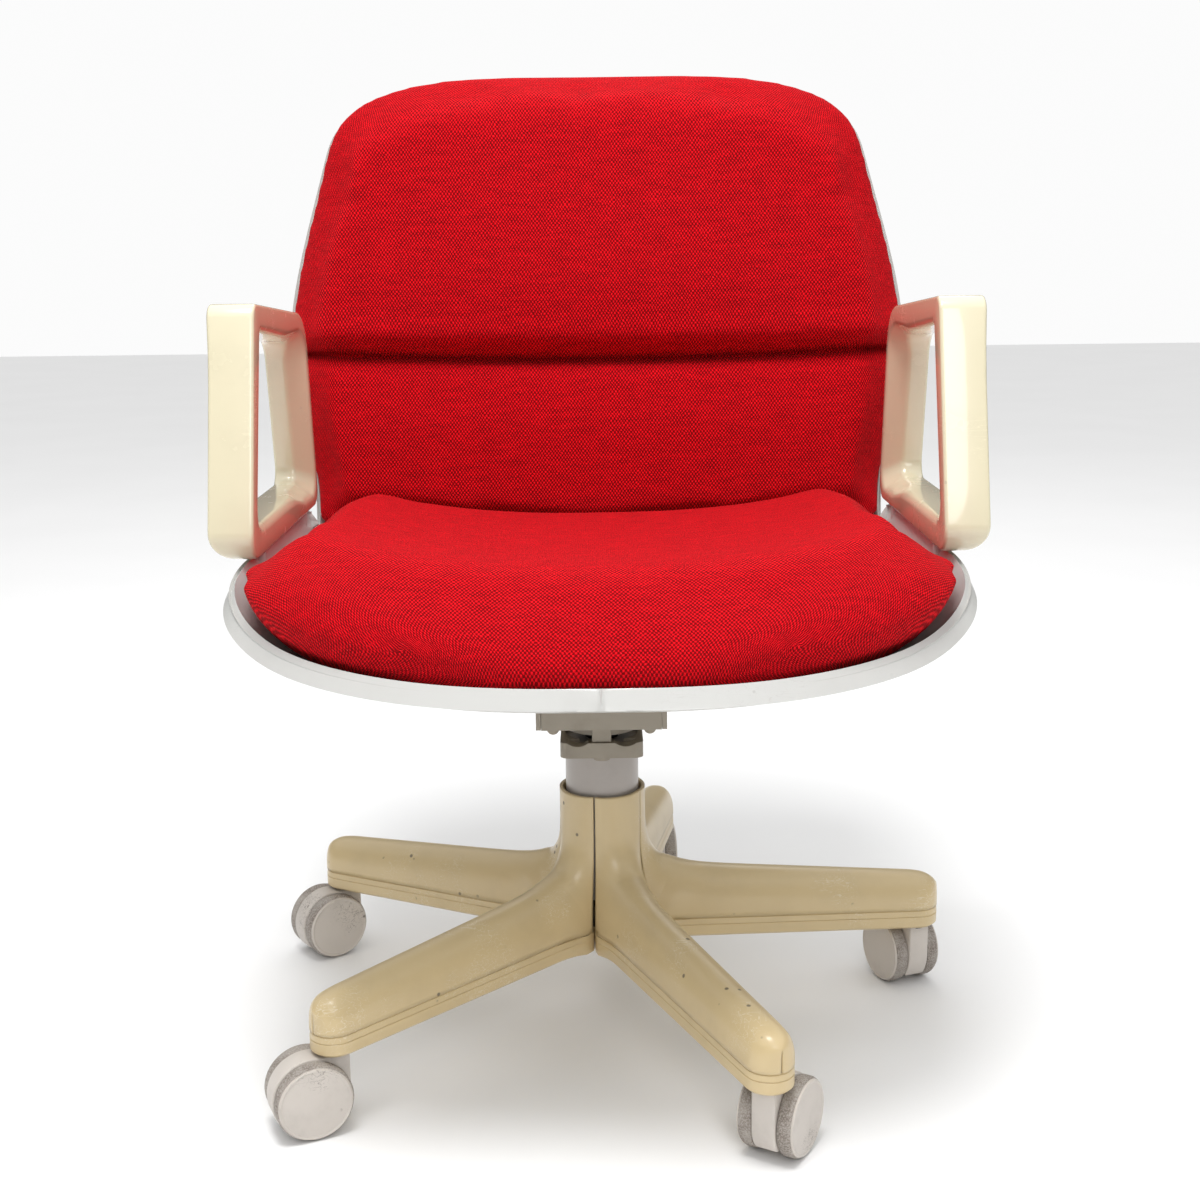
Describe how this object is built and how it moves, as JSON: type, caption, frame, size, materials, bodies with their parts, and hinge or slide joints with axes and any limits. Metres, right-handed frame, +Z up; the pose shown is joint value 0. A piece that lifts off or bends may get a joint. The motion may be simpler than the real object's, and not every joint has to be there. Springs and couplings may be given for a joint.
{
  "type": "swivel armchair",
  "caption": "Red upholstered swivel armchair with a white moulded bucket shell, cream loop arms, a gas lift and a beige five-star base on twin-wheel castors.",
  "frame": {"origin": "on the floor, under the column axis", "axes": "+Z up along the column; the sitter faces -Y; +X is to the right as seen from the front of the chair"},
  "size_m": [0.5996, 0.6172, 0.8029],
  "materials": {
    "base_plastic": "satin, moulded beige with scuffs",
    "base_plastic_lower": "satin, moulded beige",
    "base_steel": "dark welded steel under the covers",
    "bush_plastic": "plain acetal",
    "plain_steel": "plain turned steel",
    "black_steel": "black enamel",
    "column_plastic": "smooth grey tube",
    "collar_plastic": "satin grey-beige",
    "mechanism_paint": "grey-beige enamel",
    "castor_plastic": "pale nylon hood",
    "castor_tread": "hard nylon wheel with speckled wear",
    "shell_plastic": "white moulded shell",
    "red_fabric": "hopsack weave over foam",
    "arm_plastic": "glossy cream moulding"
  },
  "bodies": {
    "base": {"base_frame": "base_steel", "leg_cover_1": "base_plastic", "leg_cover_2": "base_plastic", "leg_cover_3": "base_plastic", "leg_cover_4": "base_plastic", "leg_cover_5": "base_plastic", "leg_underside_1": "base_plastic_lower", "leg_underside_2": "base_plastic_lower", "leg_underside_3": "base_plastic_lower", "leg_underside_4": "base_plastic_lower", "leg_underside_5": "base_plastic_lower", "guide_bush": "bush_plastic", "thrust_bearing": "plain_steel"},
    "castor_1": {"castor_hood_1": "castor_plastic", "castor_stem_1": "black_steel", "castor_axle_1": "plain_steel"},
    "wheel_left_1": {"wheel_left_1": "castor_tread"},
    "wheel_right_1": {"wheel_right_1": "castor_tread"},
    "castor_2": {"castor_hood_2": "castor_plastic", "castor_stem_2": "black_steel", "castor_axle_2": "plain_steel"},
    "wheel_left_2": {"wheel_left_2": "castor_tread"},
    "wheel_right_2": {"wheel_right_2": "castor_tread"},
    "castor_3": {"castor_hood_3": "castor_plastic", "castor_stem_3": "black_steel", "castor_axle_3": "plain_steel"},
    "wheel_left_3": {"wheel_left_3": "castor_tread"},
    "wheel_right_3": {"wheel_right_3": "castor_tread"},
    "castor_4": {"castor_hood_4": "castor_plastic", "castor_stem_4": "black_steel", "castor_axle_4": "plain_steel"},
    "wheel_left_4": {"wheel_left_4": "castor_tread"},
    "wheel_right_4": {"wheel_right_4": "castor_tread"},
    "castor_5": {"castor_hood_5": "castor_plastic", "castor_stem_5": "black_steel", "castor_axle_5": "plain_steel"},
    "wheel_left_5": {"wheel_left_5": "castor_tread"},
    "wheel_right_5": {"wheel_right_5": "castor_tread"},
    "spindle": {"piston_rod": "plain_steel", "retaining_clip": "plain_steel"},
    "lift": {"gas_cylinder": "black_steel", "column_cover": "column_plastic", "tilt_housing": "mechanism_paint", "housing_screws": "mechanism_paint", "lever_pin": "plain_steel", "tilt_springs": "black_steel"},
    "release": {"release_collar": "collar_plastic", "release_tappet": "collar_plastic"},
    "valve_lever": {"valve_lever": "plain_steel"},
    "valve_pin": {"valve_pin": "plain_steel"},
    "seat": {"seat_bracket": "mechanism_paint", "tilt_pin": "plain_steel", "seat_bolts": "plain_steel", "seat_shell": "shell_plastic", "seat_cushion": "red_fabric", "back_cushion": "red_fabric", "arm_left": "arm_plastic", "arm_right": "arm_plastic", "arm_screws": "plain_steel"}
  },
  "joints": [
    {"name": "castor_swivel_1", "type": "hinge", "parent": "base", "child": "castor_1", "pos_m": [0.05439, 0.27467, 0.05], "axis": [0, 0, 1], "continuous": true},
    {"name": "wheel_left_spin_1", "type": "hinge", "parent": "castor_1", "child": "wheel_left_1", "pos_m": [0.05247, 0.29658, 0.03], "axis": [-0.9962, -0.0872, 0], "continuous": true},
    {"name": "wheel_right_spin_1", "type": "hinge", "parent": "castor_1", "child": "wheel_right_1", "pos_m": [0.05247, 0.29658, 0.03], "axis": [-0.9962, -0.0872, 0], "continuous": true},
    {"name": "castor_swivel_2", "type": "hinge", "parent": "base", "child": "castor_2", "pos_m": [-0.24442, 0.1366, 0.05], "axis": [0, 0, 1], "continuous": true},
    {"name": "wheel_left_spin_2", "type": "hinge", "parent": "castor_2", "child": "wheel_left_2", "pos_m": [-0.26222, 0.12367, 0.03], "axis": [0.5878, -0.809, 0], "continuous": true},
    {"name": "wheel_right_spin_2", "type": "hinge", "parent": "castor_2", "child": "wheel_right_2", "pos_m": [-0.26222, 0.12367, 0.03], "axis": [0.5878, -0.809, 0], "continuous": true},
    {"name": "castor_swivel_3", "type": "hinge", "parent": "base", "child": "castor_3", "pos_m": [-0.20544, -0.19024, 0.05], "axis": [0, 0, 1], "continuous": true},
    {"name": "wheel_left_spin_3", "type": "hinge", "parent": "castor_3", "child": "wheel_left_3", "pos_m": [-0.22554, -0.19919, 0.03], "axis": [0.4067, -0.9135, 0], "continuous": true},
    {"name": "wheel_right_spin_3", "type": "hinge", "parent": "castor_3", "child": "wheel_right_3", "pos_m": [-0.22554, -0.19919, 0.03], "axis": [0.4067, -0.9135, 0], "continuous": true},
    {"name": "castor_swivel_4", "type": "hinge", "parent": "base", "child": "castor_4", "pos_m": [0.11745, -0.25418, 0.05], "axis": [0, 0, 1], "continuous": true},
    {"name": "wheel_left_spin_4", "type": "hinge", "parent": "castor_4", "child": "wheel_left_4", "pos_m": [0.12878, -0.23532, 0.03], "axis": [-0.8572, 0.515, 0], "continuous": true},
    {"name": "wheel_right_spin_4", "type": "hinge", "parent": "castor_4", "child": "wheel_right_4", "pos_m": [0.12878, -0.23532, 0.03], "axis": [-0.8572, 0.515, 0], "continuous": true},
    {"name": "castor_swivel_5", "type": "hinge", "parent": "base", "child": "castor_5", "pos_m": [0.27803, 0.03315, 0.05], "axis": [0, 0, 1], "continuous": true},
    {"name": "wheel_left_spin_5", "type": "hinge", "parent": "castor_5", "child": "wheel_left_5", "pos_m": [0.26979, 0.05355, 0.03], "axis": [-0.9272, -0.3746, 0], "continuous": true},
    {"name": "wheel_right_spin_5", "type": "hinge", "parent": "castor_5", "child": "wheel_right_5", "pos_m": [0.26979, 0.05355, 0.03], "axis": [-0.9272, -0.3746, 0], "continuous": true},
    {"name": "seat_swivel", "type": "hinge", "parent": "base", "child": "spindle", "pos_m": [0, 0, 0.08], "axis": [0, 0, 1], "continuous": true},
    {"name": "seat_height", "type": "slide", "parent": "spindle", "child": "lift", "axis": [0, 0, 1], "range_m": [0, 0.085]},
    {"name": "seat_tilt", "type": "hinge", "parent": "lift", "child": "seat", "pos_m": [0, 0.03, 0.2785], "axis": [-1, 0, 0], "range_deg": [0, 10], "stiffness_Nm_per_rad": 150, "springref_deg": -11.46},
    {"name": "collar_lift", "type": "slide", "parent": "lift", "child": "release", "axis": [0, 0, 1], "range_m": [0, 0.004], "stiffness_N_per_m": 400, "springref_m": -0.004},
    {"name": "valve_lever_tip", "type": "hinge", "parent": "lift", "child": "valve_lever", "pos_m": [0, -0.017, 0.28], "axis": [-1, 0, 0], "range_deg": [0, 15]},
    {"name": "valve_press", "type": "slide", "parent": "lift", "child": "valve_pin", "axis": [0, 0, -1], "range_m": [0, 0.005]}
  ],
  "couplings": [
    {"joint": "valve_lever_tip", "follows": "collar_lift", "rad_per_m": 63.2},
    {"joint": "valve_press", "follows": "collar_lift", "ratio": 1.225}
  ]
}
